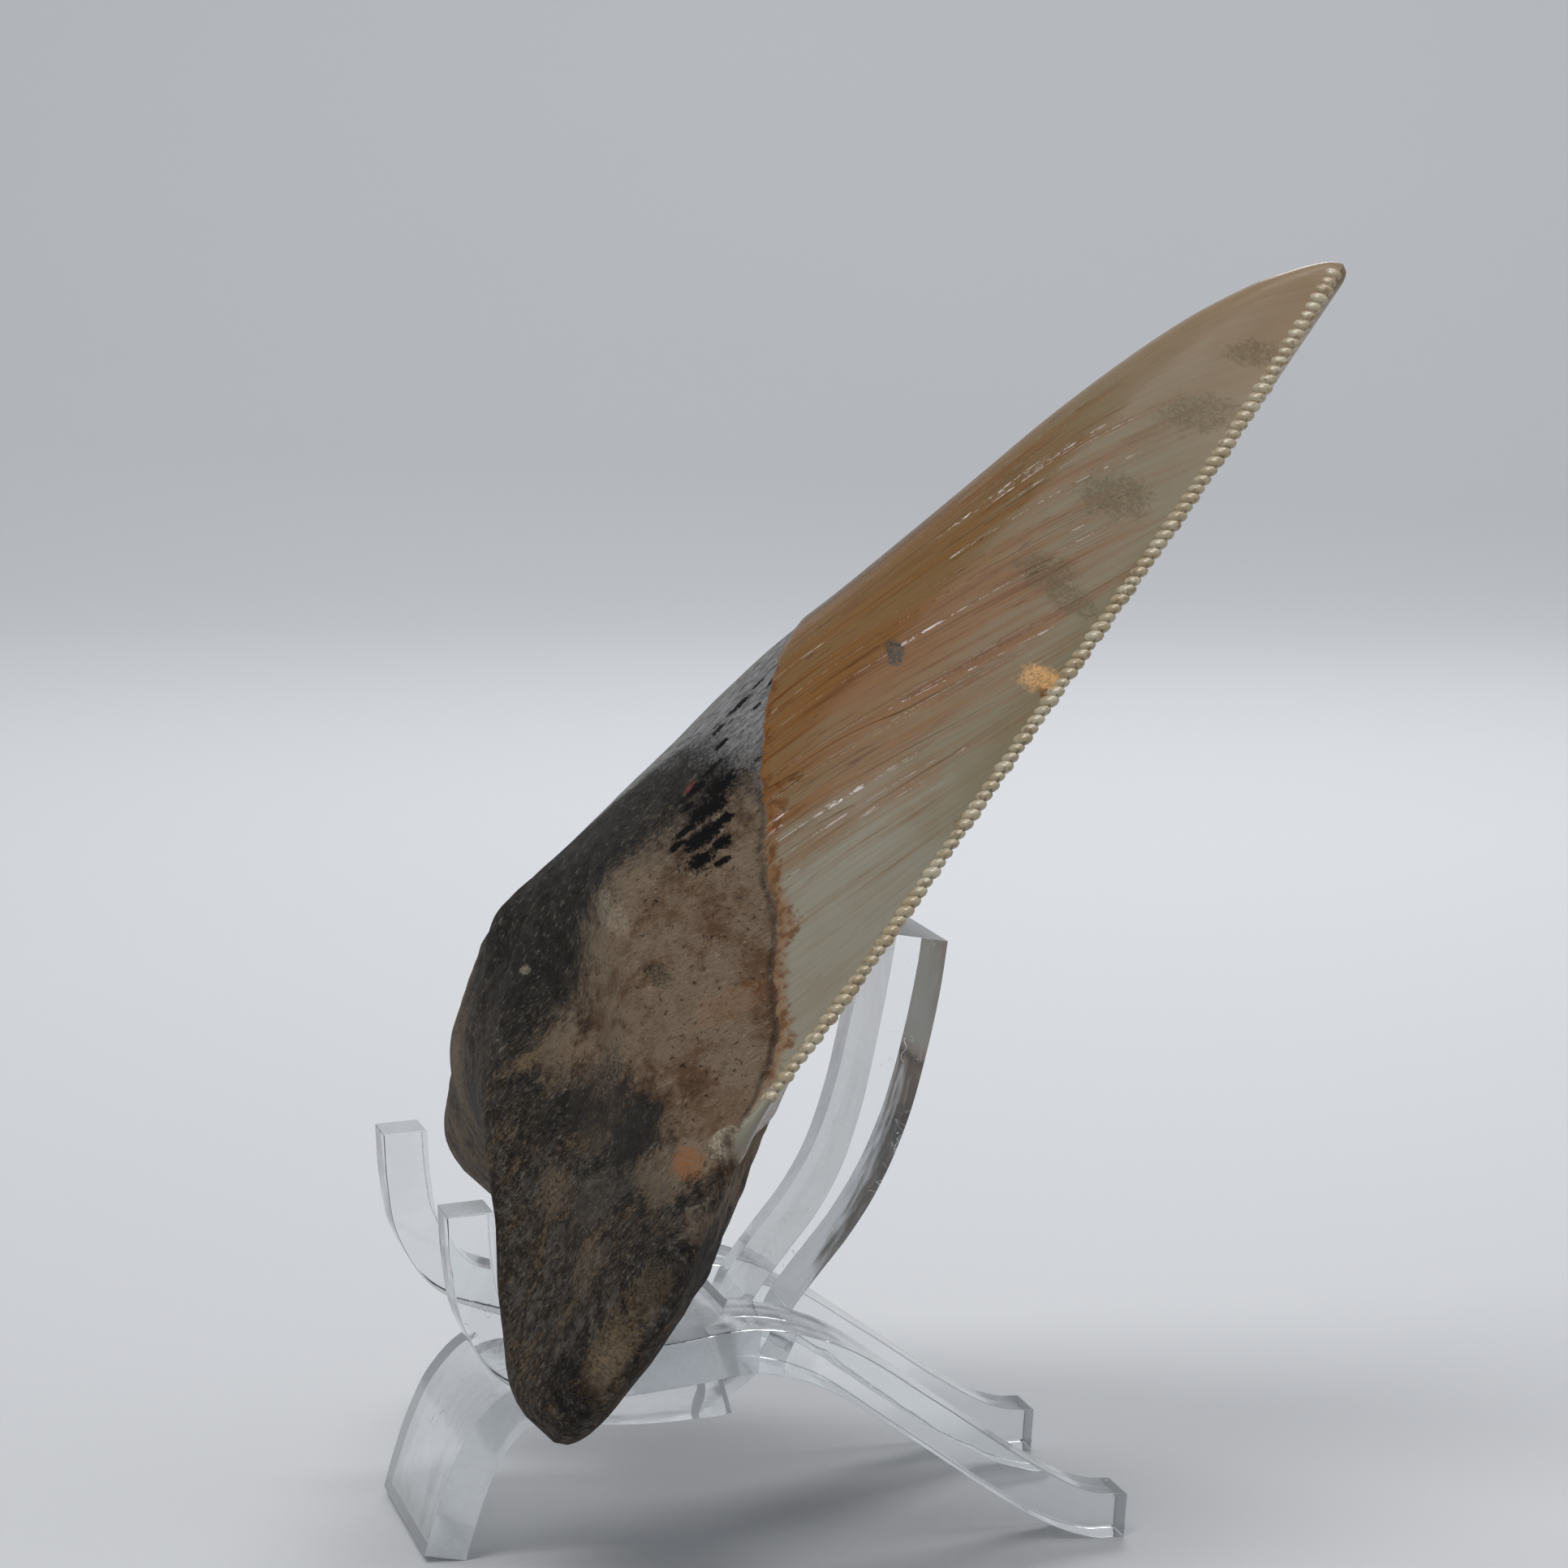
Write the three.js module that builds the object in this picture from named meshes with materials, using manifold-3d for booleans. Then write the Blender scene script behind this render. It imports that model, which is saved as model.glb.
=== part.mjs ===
// Megalodon tooth leaning back on a clear two-piece easel stand.
// Millimetres, +Z up. The origin is on the table, under the middle of the whole object.
// The stand's side profile lies in the XZ plane, with its hooks towards -X and its back arm towards +X.

import * as THREE from 'three';
import { mergeVertices } from 'three/addons/utils/BufferGeometryUtils.js';
import Module from 'manifold-3d';

const wasm = await Module();
wasm.setup();

// Where the tooth leans, measured from the middle of the stand's crossing
const tipPlace = new THREE.Vector3(54.8, -14.5, 117.1);
const toothYaw = THREE.MathUtils.degToRad(13.3);
const toothLean = THREE.MathUtils.degToRad(55);

// Cradle piece: hooks, bridge and two rear legs, one bent strip seen from the side
const cradleThickness = 4.2;
const cradleLine = [
  [-27.7, 34.2], [-27.4, 29.5], [-26.5, 24.8], [-23.4, 20.3], [-17.5, 18.5], [-9, 18.9], [-1, 19.75],
  [6, 17.8], [14.5, 12.3], [23, 6.3], [28, 3.3], [31.4, 2.15], [34, 1.95],
];
const hookHalfWidth = 21.3;
const bridgeHalfWidth = 19.3;
const footHalfWidth = 18.4;
const hookWidth = 5.5;
const rearFootWidth = 5.6;
const bridgeFrontX = -15.5;
const bridgeRearX = -1.7;
const slotHalfWidth = 7.3;
const slotEndX = 6.5;
const hookTipX = -31;
const rearFootX = 33.8;

// Arm piece: back arm through the slot, wide front leg below; each point is x, z and half the thickness
const armLine = [
  [-28.8, 0.15, 1.95], [-27.9, 3.3, 1.95], [-26.4, 7.6, 1.95], [-24.5, 11.2, 1.95], [-21.6, 13.9, 1.9],
  [-17.5, 14.1, 1.9], [-12, 13.7, 1.9], [-6, 13.8, 1.9], [-1.8, 14.4, 1.9], [1.1, 17.1, 1.9], [2.9, 20.8, 1.9],
  [5.6, 24.4, 1.9], [8.8, 28.4, 1.95], [11.4, 32.7, 2.1], [13.7, 38.5, 2.35], [15.3, 44.6, 2.5],
  [16.5, 50.2, 2.55], [17.3, 55, 2.5],
];
const armHalfWidth = 7;
const legHalfWidth = 12;
const shoulderX = -2.6;

// Tooth, in its own frame: x across, y down from the tip, z towards the tongue side
const crownLength = 93;
const archDepth = 113.8;
const rootSideDepth = 114;
const toothHalfWidth = 46;
const crownBend = 1.25;
const crownSpan = 112;
const tipSwell = 1.6;
const rimRound = 4;
const enamelStep = 0.45;
const enamelTop = 55.5;
const enamelSlope = 0.92;
const labialEnamelDepth = 90;
const rootLump = 0.35;
// The far lobe bends towards the tongue side and fills more of the arch
const farBend = 0.46;
const farBendStart = 14;
const farFullness = 0.4;
const farArchFill = 4;

// Lower outline of the root: share of the half width, depth from the tip
const rootOutline = [
  [0, 112.5], [0.3, 113.3], [0.5, 115.8], [0.62, 119.8], [0.74, 122.6], [0.82, 123], [0.91, 121.3],
  [0.97, 117.8], [1, 114],
];
// Tongue side seen in profile: depth from the tip, height over the edge plane
const lingualProfile = [
  [0, 0], [2.6, 3], [6.4, 5.8], [13.6, 9.4], [25, 13.4], [37.1, 16.7], [50.2, 20.3], [60, 23.2], [72, 25.4],
  [84.3, 27.8], [93, 29.8], [99.5, 29],
];
// The cutting edge bows slightly out of its plane, then the sides of the root follow
const edgeProfile = [[0, 0], [20, 0], [50, 1.1], [75, 1.9], [93, 2.9], [104, 2], [114, 1]];
// Lip side along the middle: depth from the tip, height
const labialProfile = [[0, 0], [20, -0.9], [50, 0.1], [75, 0.8], [90, -0.8], [105, -2.8], [123, -2.6]];
// Where the swelling of the root is highest, and how its edge rounds over towards the two lobes
const swellDepth = 99;
const crestShare = 0.815;
const crestRise = 0.105;
const basalFall = 1.15;
const rootStart = 0.72;
const basalMiddleHeight = 8;
const basalLobeHeight = 0.6;

const columns = 28;
const rows = 36;
const serrationPitch = 1.3;
const serrationRadius = 0.7;
const serrationEnd = 91;

// Pits in the root: x, depth from the tip, radius, depth of the pit; the first is the nutrient foramen
const rootPits = [
  [4, 96, 3.2, 1.2], [-13, 92, 3, 0.8], [14, 99, 3.5, 0.9], [-27, 104, 3.6, 0.8], [26, 102, 3, 0.7],
  [-8, 84, 3.4, 0.6], [34, 110, 3.2, 0.7], [-35, 112, 3, 0.7], [20, 88, 3.2, 0.6],
];

function clamp01(value) {
  return Math.min(1, Math.max(0, value));
}

function smooth(from, to, value) {
  const t = clamp01((value - from) / (to - from));
  return t * t * (3 - 2 * t);
}

// Smooth curve through a short list of points, read by its first coordinate
function profileReader(points) {
  return (x) => {
    const last = points.length - 1;
    if (x >= points[last][0]) return points[last][1];
    const i = Math.max(0, points.findIndex((point) => point[0] > x) - 1);
    const [x1, y1] = points[i];
    const [x2, y2] = points[i + 1];
    const before = points[Math.max(0, i - 1)];
    const after = points[Math.min(last, i + 2)];
    const slope1 = (y2 - before[1]) / (x2 - before[0]);
    const slope2 = (after[1] - y1) / (after[0] - x1);
    const t = (x - x1) / (x2 - x1);
    const h = x2 - x1;
    const a = 2 * t ** 3 - 3 * t ** 2 + 1;
    const b = t ** 3 - 2 * t ** 2 + t;
    const c = -2 * t ** 3 + 3 * t ** 2;
    const d = t ** 3 - t ** 2;
    return a * y1 + b * h * slope1 + c * y2 + d * h * slope2;
  };
}

function toManifold(geometry) {
  const bare = geometry.clone();
  bare.deleteAttribute('normal');
  bare.deleteAttribute('uv');
  const merged = mergeVertices(bare, 1e-5);
  return new wasm.Manifold(new wasm.Mesh({
    numProp: 3,
    vertProperties: new Float32Array(merged.attributes.position.array),
    triVerts: new Uint32Array(merged.index.array),
  }));
}

function toGeometry(solid) {
  const mesh = solid.getMesh();
  const geometry = new THREE.BufferGeometry();
  geometry.setAttribute('position', new THREE.BufferAttribute(mesh.vertProperties, 3));
  geometry.setIndex(new THREE.BufferAttribute(mesh.triVerts, 1));
  geometry.computeVertexNormals();
  return geometry;
}

// Outline of a bent strip: a smooth centre line, pushed out by half the thickness on both sides
function stripShape(line, divisions) {
  const curve = new THREE.CatmullRomCurve3(line.map(([x, z, half]) => new THREE.Vector3(x, z, half)));
  const points = curve.getPoints(divisions);
  const upper = [];
  const lower = [];
  points.forEach((point, i) => {
    const next = points[Math.min(i + 1, divisions)];
    const previous = points[Math.max(i - 1, 0)];
    const along = new THREE.Vector2(next.x - previous.x, next.y - previous.y).normalize();
    upper.push(new THREE.Vector2(point.x - along.y * point.z, point.y + along.x * point.z));
    lower.unshift(new THREE.Vector2(point.x + along.y * point.z, point.y - along.x * point.z));
  });
  return new THREE.Shape([...upper, ...lower]);
}

// A side profile in x and z, extruded across the stand, with y centred on zero
function extrudeAcross(shape, halfWidth) {
  const geometry = new THREE.ExtrudeGeometry(shape, { depth: 2 * halfWidth, bevelEnabled: false });
  geometry.rotateX(Math.PI / 2);
  geometry.translate(0, halfWidth, 0);
  return toManifold(geometry);
}

// A plan outline in x and y, extruded upwards from below the table
function extrudeUp(shape, height) {
  const geometry = new THREE.ExtrudeGeometry(shape, { depth: height, bevelEnabled: false });
  geometry.translate(0, 0, -height / 4);
  return toManifold(geometry);
}

// Plan outline from its +Y half, read from front to rear
function mirroredPlan(half) {
  const far = half.map(([x, y]) => new THREE.Vector2(x, y));
  const near = half.map(([x, y]) => new THREE.Vector2(x, -y)).reverse();
  return new THREE.Shape([...far, ...near]);
}

function cutBelowTable(solid) {
  const block = new THREE.BoxGeometry(200, 200, 40);
  block.translate(0, 0, -20);
  return solid.subtract(toManifold(block));
}

// Cradle: two hooks, a bridge and two rear legs, with a notch between the legs for the arm
function buildCradle() {
  const half = cradleThickness / 2;
  const side = extrudeAcross(stripShape(cradleLine.map(([x, z]) => [x, z, half]), 54), hookHalfWidth + 1);
  const hookInner = hookHalfWidth - hookWidth;
  const footInner = footHalfWidth - rearFootWidth;
  const outer = mirroredPlan([
    [hookTipX, hookHalfWidth], [-26, hookHalfWidth - 0.2], [-18, bridgeHalfWidth + 0.5],
    [-8, bridgeHalfWidth], [bridgeRearX, bridgeHalfWidth], [12, footHalfWidth + 0.3],
    [rearFootX, footHalfWidth],
  ]);
  const frontNotch = mirroredPlan([
    [hookTipX - 2, hookInner], [-22, hookInner - 0.4], [bridgeFrontX - 2, hookInner - 1.2],
    [bridgeFrontX - 0.6, hookInner - 2.2], [bridgeFrontX, hookInner - 4],
  ]);
  const rearNotch = mirroredPlan([
    [bridgeRearX, slotHalfWidth], [slotEndX, slotHalfWidth],
    [12, slotHalfWidth + 1.4], [20, slotHalfWidth + 3.6], [27, footInner - 0.6], [rearFootX + 3, footInner],
  ]);
  const plan = extrudeUp(outer, 160);
  return cutBelowTable(side.intersect(plan).subtract(extrudeUp(frontNotch, 160)).subtract(extrudeUp(rearNotch, 160)));
}

// Arm piece: the back arm narrows at its shoulders, just behind the bridge
function buildArm() {
  const side = extrudeAcross(stripShape(armLine, 62), legHalfWidth + 1);
  const plan = mirroredPlan([
    [-34, legHalfWidth], [shoulderX - 0.8, legHalfWidth], [shoulderX, legHalfWidth - 0.8],
    [shoulderX, armHalfWidth], [24, armHalfWidth],
  ]);
  return cutBelowTable(side.intersect(extrudeUp(plan, 160)));
}

const readOutline = profileReader(rootOutline);
const readLingual = profileReader(lingualProfile);
const readEdge = profileReader(edgeProfile);
const readLabial = profileReader(labialProfile);

// Half width of the tooth at a depth from the tip, with the shoulder where crown meets root
function halfWidthAt(depth) {
  const crown = toothHalfWidth * (1 - (1 - Math.min(depth, crownSpan) / crownSpan) ** crownBend);
  const tipRound = tipSwell * Math.sqrt(clamp01(depth / 3)) * (1 - smooth(2, 45, depth));
  const rootSwell = 2.2 * smooth(crownLength - 2, crownLength + 6, depth);
  const rootTuck = 3.4 * smooth(crownLength + 6, rootSideDepth, depth);
  return crown + tipRound + rootSwell - rootTuck;
}

// Depth at which the enamel ends on the tongue side, a wide V with its point towards the tip
function enamelEndAt(x) {
  return enamelTop + enamelSlope * (Math.hypot(x, 4) - 4);
}

function lumpAt(x, depth) {
  const long = Math.sin(0.42 * x + 0.9) * Math.sin(0.21 * depth + 0.6 + 0.05 * x);
  const fine = 0.6 * Math.sin(0.93 * x - 0.31 * depth) * Math.sin(0.67 * depth + 0.4 * x);
  return rootLump * (long + fine);
}

function pitAt(x, depth) {
  let sunk = 0;
  for (const [pitX, pitDepth, radius, deep] of rootPits) {
    const r = Math.hypot(x - pitX, depth - pitDepth) / radius;
    sunk += deep * Math.exp(-2.2 * r * r);
  }
  return sunk;
}

// One point of the tooth: across runs -1 to 1 between the edges, down runs 0 at the tip to 1 at the root
function toothPoint(across, down, lingual) {
  const share = Math.abs(across);
  const archFill = farArchFill * Math.exp(-(((across + 0.32) / 0.3) ** 2));
  const depth = down * (readOutline(share) + archFill);
  const x = across * halfWidthAt(down * rootSideDepth);
  const rootness = smooth(rootStart, rootStart + 0.12, down);
  const basal = basalLobeHeight + (basalMiddleHeight - basalLobeHeight) * (1 - smooth(0.1, 0.7, share));
  const edge = readEdge(down * rootSideDepth);
  const base = edge + (basal - edge) * smooth(0.82, 1, down);
  const sideRound = Math.sqrt(Math.max(0, 1 - share ** 8));
  const outlineFade = Math.min(1, 4 * (1 - share), 6 * (1 - down));
  const far = Math.max(0, -x);
  const bend = ((farBend * far * far) / (far + farBendStart)) * smooth(0.74, 0.96, down);
  if (lingual) {
    const lobeRise = across < 0 ? smooth(0.22, 0.95, share) : smooth(0.1, 0.62, share);
    const crest = crestShare + crestRise * lobeRise + 0.05 * share;
    const past = clamp01((down - crest) / (1 - crest));
    const full = readLingual(Math.min(down * archDepth, swellDepth)) - edge;
    const crownHeight = full * (1 - share * share);
    const fullness = across < 0 ? share ** (1 + farFullness) : share;
    const bulge = (1 - Math.hypot(fullness, 0.08) ** 1.2) ** 1.6;
    const rootHeight = (full - rimRound) * Math.max(0, bulge || 0) * 1.06 + rimRound * sideRound;
    const top = edge + crownHeight + (rootHeight - crownHeight) * rootness;
    const height = base + (top - edge) * Math.sqrt(Math.max(0, 1 - past ** (basalFall + 1.3 * lobeRise)));
    const bare = smooth(-0.8, 0.8, depth - enamelEndAt(x));
    const relief = bare * (-enamelStep + (lumpAt(x, depth) - pitAt(x, depth)) * rootness);
    return [x, -depth, height + bend + relief * outlineFade];
  }
  const basalRound = Math.sqrt(Math.max(0, 1 - clamp01((down - 0.85) / 0.15) ** 6));
  const round = (1 - share * share) * (1 - rootness) + sideRound * rootness * basalRound;
  const bare = smooth(-0.8, 0.8, depth - labialEnamelDepth - 3 * share);
  const relief = bare * (enamelStep - lumpAt(x + 7, depth));
  return [x, -depth, base + bend + (readLabial(depth) - base) * round + relief * outlineFade];
}

// Columns crowd towards the two edges, rows run evenly from tip to root
function acrossAt(i) {
  const t = (2 * i) / columns - 1;
  return 0.55 * t + 0.45 * Math.sin((Math.PI / 2) * t);
}

function buildToothBody() {
  const positions = [];
  const addQuad = (a, b, c, d, flip) => {
    const first = flip ? [a, c, b] : [a, b, c];
    const second = flip ? [a, d, c] : [a, c, d];
    positions.push(...first.flat(), ...second.flat());
  };
  for (const lingual of [true, false]) {
    for (let i = 0; i < columns; i += 1) {
      for (let j = 0; j < rows; j += 1) {
        const a = toothPoint(acrossAt(i), j / rows, lingual);
        const b = toothPoint(acrossAt(i), (j + 1) / rows, lingual);
        const c = toothPoint(acrossAt(i + 1), (j + 1) / rows, lingual);
        const d = toothPoint(acrossAt(i + 1), j / rows, lingual);
        if (j === 0) positions.push(...(lingual ? [a, b, c] : [a, c, b]).flat());
        else addQuad(a, b, c, d, !lingual);
      }
    }
  }
  const geometry = new THREE.BufferGeometry();
  geometry.setAttribute('position', new THREE.BufferAttribute(new Float32Array(positions), 3));
  return toManifold(geometry);
}

// Serrations: small eight-faced beads, one pitch apart, sunk into both cutting edges
function buildSerrations() {
  const beads = [];
  for (const side of [-1, 1]) {
    for (let depth = 3; depth < serrationEnd; depth += serrationPitch) {
      const down = depth / rootSideDepth;
      const [x, y, z] = toothPoint(side, down, true);
      const bead = new THREE.OctahedronGeometry(serrationRadius);
      bead.scale(1.35, 0.8, 1);
      bead.rotateZ(-side * 0.45);
      bead.translate(x - side * 0.25, y, z);
      beads.push(toManifold(bead));
    }
  }
  return beads;
}

function buildTooth() {
  return buildSerrations().reduce((tooth, bead) => tooth.add(bead), buildToothBody());
}

function material(color, roughness, extra = {}) {
  return new THREE.MeshStandardMaterial({ color, roughness, metalness: 0, ...extra });
}

const clearPlastic = { transparent: true, opacity: 0.35 };
const tooth = new THREE.Mesh(toGeometry(buildTooth()), material(0x8a8172, 0.45));
tooth.name = 'tooth';
const standCradle = new THREE.Mesh(toGeometry(buildCradle()), material(0xdfe6ea, 0.08, clearPlastic));
standCradle.name = 'stand_cradle';
const standArm = new THREE.Mesh(toGeometry(buildArm()), material(0xdfe6ea, 0.08, clearPlastic));
standArm.name = 'stand_arm';

// The tooth is turned so that its tip points up and back, lip side on the arm, root in the hooks
const level = new THREE.Vector3(Math.cos(toothYaw), -Math.sin(toothYaw), 0);
const up = new THREE.Vector3(0, 0, 1);
const acrossAxis = new THREE.Vector3(-Math.sin(toothYaw), -Math.cos(toothYaw), 0);
const tipAxis = level.clone().multiplyScalar(Math.cos(toothLean)).addScaledVector(up, Math.sin(toothLean));
const lingualAxis = new THREE.Vector3().crossVectors(acrossAxis, tipAxis);
const turned = new THREE.Matrix4().makeBasis(acrossAxis, tipAxis, lingualAxis);
tooth.quaternion.setFromRotationMatrix(turned);
tooth.position.copy(tipPlace);

const model = new THREE.Group();
model.add(tooth, standCradle, standArm);

// The whole object is centred over its origin, which lies on the table
const middle = new THREE.Box3().setFromObject(model, true).getCenter(new THREE.Vector3());
model.position.set(-middle.x, -middle.y, 0);

export default model;
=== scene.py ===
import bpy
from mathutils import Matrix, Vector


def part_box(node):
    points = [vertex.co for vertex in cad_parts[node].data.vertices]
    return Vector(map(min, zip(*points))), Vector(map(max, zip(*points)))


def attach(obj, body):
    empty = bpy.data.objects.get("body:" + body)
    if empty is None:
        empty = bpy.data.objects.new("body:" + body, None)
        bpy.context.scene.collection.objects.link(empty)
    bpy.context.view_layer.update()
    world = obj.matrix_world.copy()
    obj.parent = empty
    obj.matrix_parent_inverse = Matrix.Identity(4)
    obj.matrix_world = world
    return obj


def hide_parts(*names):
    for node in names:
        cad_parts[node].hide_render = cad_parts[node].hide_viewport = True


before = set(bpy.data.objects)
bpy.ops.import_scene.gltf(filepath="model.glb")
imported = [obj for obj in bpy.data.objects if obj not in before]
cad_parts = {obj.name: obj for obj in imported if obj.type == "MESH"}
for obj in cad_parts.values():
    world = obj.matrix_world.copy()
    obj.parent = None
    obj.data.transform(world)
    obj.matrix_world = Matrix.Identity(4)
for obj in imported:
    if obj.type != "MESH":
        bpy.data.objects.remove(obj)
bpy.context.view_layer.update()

import math

import bpy
import numpy as np
from mathutils import Vector, noise

mm = 0.001

# Where the stand's own middle lies in the frame, and the tooth's tip and turn, as in the solids
armLow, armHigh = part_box("stand_arm")
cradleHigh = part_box("stand_cradle")[1]
rearFootX = 33.8
standMiddle = Vector((cradleHigh.x / mm - rearFootX, (armLow.y + armHigh.y) / 2 / mm, 0))
tipPlace = standMiddle + Vector((54.8, -14.5, 117.1))
toothYaw = math.radians(13.3)
toothLean = math.radians(55)

cameraSetup = {
    "place": standMiddle + Vector((-100, -447.5, 131)),
    "turn": math.radians(13.3),
    "downward": math.radians(7.7),
    "lens": 114.4,
}


# Camera, floor and light
def makeCamera(setup):
    data = bpy.data.cameras.new("camera")
    data.lens = setup["lens"]
    data.sensor_width = 36
    data.clip_start = 0.01
    camera = bpy.data.objects.new("camera", data)
    camera.location = setup["place"] * mm
    camera.rotation_euler = (math.pi / 2 - setup["downward"], 0, -setup["turn"])
    bpy.context.scene.collection.objects.link(camera)
    bpy.context.scene.camera = camera


def makeArea(name, place, target, size, power, colour, mirrored):
    data = bpy.data.lights.new(name, "AREA")
    data.shape = "DISK"
    data.size = size
    data.energy = power
    data.color = colour
    light = bpy.data.objects.new(name, data)
    light.location = place
    light.visible_glossy = mirrored
    light.rotation_euler = (Vector(target) - Vector(place)).to_track_quat("-Z", "Y").to_euler()
    bpy.context.scene.collection.objects.link(light)


def paint(red, green, blue):
    # a colour as the eye reads it, 0 to 255, turned into the linear values that shaders take
    shares = [channel / 255 for channel in (red, green, blue)]
    linear = [s / 12.92 if s <= 0.04045 else ((s + 0.055) / 1.055) ** 2.4 for s in shares]
    return (*linear, 1.0)


# Shader maths: a socket that can be added to, multiplied and compared like a number
class Wire:
    def __init__(self, shader, socket):
        self.shader = shader
        self.socket = socket

    def maths(self, operation, *others, swap=False):
        values = [self, *others]
        if swap:
            values.reverse()
        made = self.shader.node("ShaderNodeMath", {"operation": operation}, dict(enumerate(values)))
        return Wire(self.shader, made.outputs[0])

    def __add__(self, other):
        return self.maths("ADD", other)

    __radd__ = __add__

    def __sub__(self, other):
        return self.maths("SUBTRACT", other)

    def __rsub__(self, other):
        return self.maths("SUBTRACT", other, swap=True)

    def __mul__(self, other):
        return self.maths("MULTIPLY", other)

    __rmul__ = __mul__

    def __truediv__(self, other):
        return self.maths("DIVIDE", other)

    def __rtruediv__(self, other):
        return self.maths("DIVIDE", other, swap=True)

    def __pow__(self, other):
        return self.maths("POWER", other)

    def __abs__(self):
        return self.maths("ABSOLUTE")

    def smallest(self, other):
        return self.maths("MINIMUM", other)

    def largest(self, other):
        return self.maths("MAXIMUM", other)

    def ramp(self, start, end, low=0.0, high=1.0):
        # low before start, high after end, with a soft turn between them
        made = self.shader.node("ShaderNodeMapRange", {"interpolation_type": "SMOOTHSTEP"}, {
            "Value": self, "From Min": start, "From Max": end, "To Min": low, "To Max": high,
        })
        return Wire(self.shader, made.outputs[0])


class Shader:
    def __init__(self, name):
        self.material = bpy.data.materials.new(name)
        self.material.use_nodes = True
        self.tree = self.material.node_tree
        self.tree.nodes.clear()

    def node(self, kind, settings=None, values=None):
        made = self.tree.nodes.new(kind)
        for key, value in (settings or {}).items():
            setattr(made, key, value)
        for key, value in (values or {}).items():
            if isinstance(value, Wire):
                self.tree.links.new(value.socket, made.inputs[key])
            else:
                made.inputs[key].default_value = value
        return made

    def attribute(self, name, output="Fac"):
        made = self.node("ShaderNodeAttribute", {"attribute_name": name})
        return Wire(self, made.outputs[output])

    def parts(self, vector):
        made = self.node("ShaderNodeSeparateXYZ", None, {0: vector})
        return [Wire(self, made.outputs[i]) for i in range(3)]

    def join(self, x, y, z):
        made = self.node("ShaderNodeCombineXYZ", None, {0: x, 1: y, 2: z})
        return Wire(self, made.outputs[0])

    def objectPlace(self, scale):
        coords = self.node("ShaderNodeTexCoord")
        made = self.node("ShaderNodeVectorMath", {"operation": "SCALE"},
                         {0: Wire(self, coords.outputs["Object"]), "Scale": scale})
        return Wire(self, made.outputs[0])

    def grain(self, vector, scale, detail=3.0, rough=0.55, bend=0.0):
        made = self.node("ShaderNodeTexNoise", {"noise_dimensions": "3D"}, {
            "Vector": vector, "Scale": scale, "Detail": detail, "Roughness": rough, "Distortion": bend,
        })
        return Wire(self, made.outputs[0])

    def blend(self, amount, under, over):
        made = self.node("ShaderNodeMix", {"data_type": "RGBA"}, {0: amount, 6: under, 7: over})
        return Wire(self, made.outputs[2])

    def bump(self, height, strength, distance):
        values = {"Height": height, "Strength": strength, "Distance": distance}
        return Wire(self, self.node("ShaderNodeBump", None, values).outputs[0])

    def finish(self, values, second=None, share=0.0):
        surface = self.node("ShaderNodeBsdfPrincipled", None, values)
        if second:
            over = self.node("ShaderNodeBsdfPrincipled", None, second)
            surface = self.node("ShaderNodeMixShader", None, {
                0: share, 1: Wire(self, surface.outputs[0]), 2: Wire(self, over.outputs[0]),
            })
        self.node("ShaderNodeOutputMaterial", None, {"Surface": Wire(self, surface.outputs[0])})
        return self.material


# Form of the tooth, millimetres: across runs -1 to 1 between its edges, down runs from tip to root
tooth = {
    "archDepth": 113.8,
    "sideDepth": 114.0,
    "halfWidth": 46.0,
    "crownBend": 1.25,
    "crownSpan": 112.0,
    "shoulderSpan": (91.0, 99.0),
    "shoulderFlare": 2.2,
    "lobeTaper": 3.4,
    "tipSwell": 1.6,
    "tipReach": 3,
    "tipSpan": (2, 45),
    "rimRound": 4.0,
    "enamelStep": 0.35,
    "enamelTop": 55.5,
    "enamelSlope": 0.92,
    "enamelSideDrop": 1.5,
    "sideDropSpan": (33.0, 41.0),
    "veeRound": 4.0,
    "labialEnamelDepth": 90.0,
    "labialEnamelBow": 3.0,
    "swellDepth": 99.0,
    "crestShare": 0.825,         # the crest's place down, and how it moves towards the lobes
    "crestRise": 0.105,
    "crestLobe": 0.05,
    "basalFall": 1.15,
    "lobeFall": 1.3,
    "farLobeSpan": (0.22, 0.95),
    "nearLobeSpan": (0.1, 0.62),
    "bulge": 1.06,
    "bulgeNarrow": 1.2,
    "bulgeFall": 1.6,
    "bulgeTop": 0.08,
    "farBend": 0.46,
    "farBendStart": 14.0,
    "farBendSpan": (0.74, 0.96),
    "farFullness": 0.4,
    "farArchFill": 4.0,
    "farArchAt": 0.32,
    "farArchWidth": 0.3,
    "rootSpan": (0.72, 0.84),
    "basalMiddle": 8.0,
    "basalLobe": 0.6,
    "basalSpan": (0.1, 0.7),
    "basalStart": 0.82,
    "labialRim": 0.15,
    "stepBlend": 0.8,
    "edgeCrowding": 0.45,
    "columns": 188,
    "rows": 262,
}
rootOutline = [(0, 112.5), (0.3, 113.3), (0.5, 115.8), (0.62, 119.8), (0.74, 122.6), (0.82, 123),
               (0.91, 121.3), (0.97, 117.8), (1, 114)]
lingualProfile = [(0, 0), (0.5, 1.1), (2.6, 3.1), (6.4, 5.8), (13.6, 9.4), (25, 13.4), (37.1, 16.7),
                  (50.2, 20.3), (60, 23.2), (72, 25.4), (84.3, 27.8), (93, 29.8), (99.5, 29)]
edgeProfile = [(0, 0), (20, 0), (50, 1.1), (75, 1.9), (93, 2.9), (104, 2), (114, 1)]
labialProfile = [(0, 0), (0.5, -0.7), (1.8, -1.0), (20, -1.0), (50, 0.1), (75, 0.8), (90, -0.8),
                 (105, -2.8), (123, -2.6)]
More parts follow.
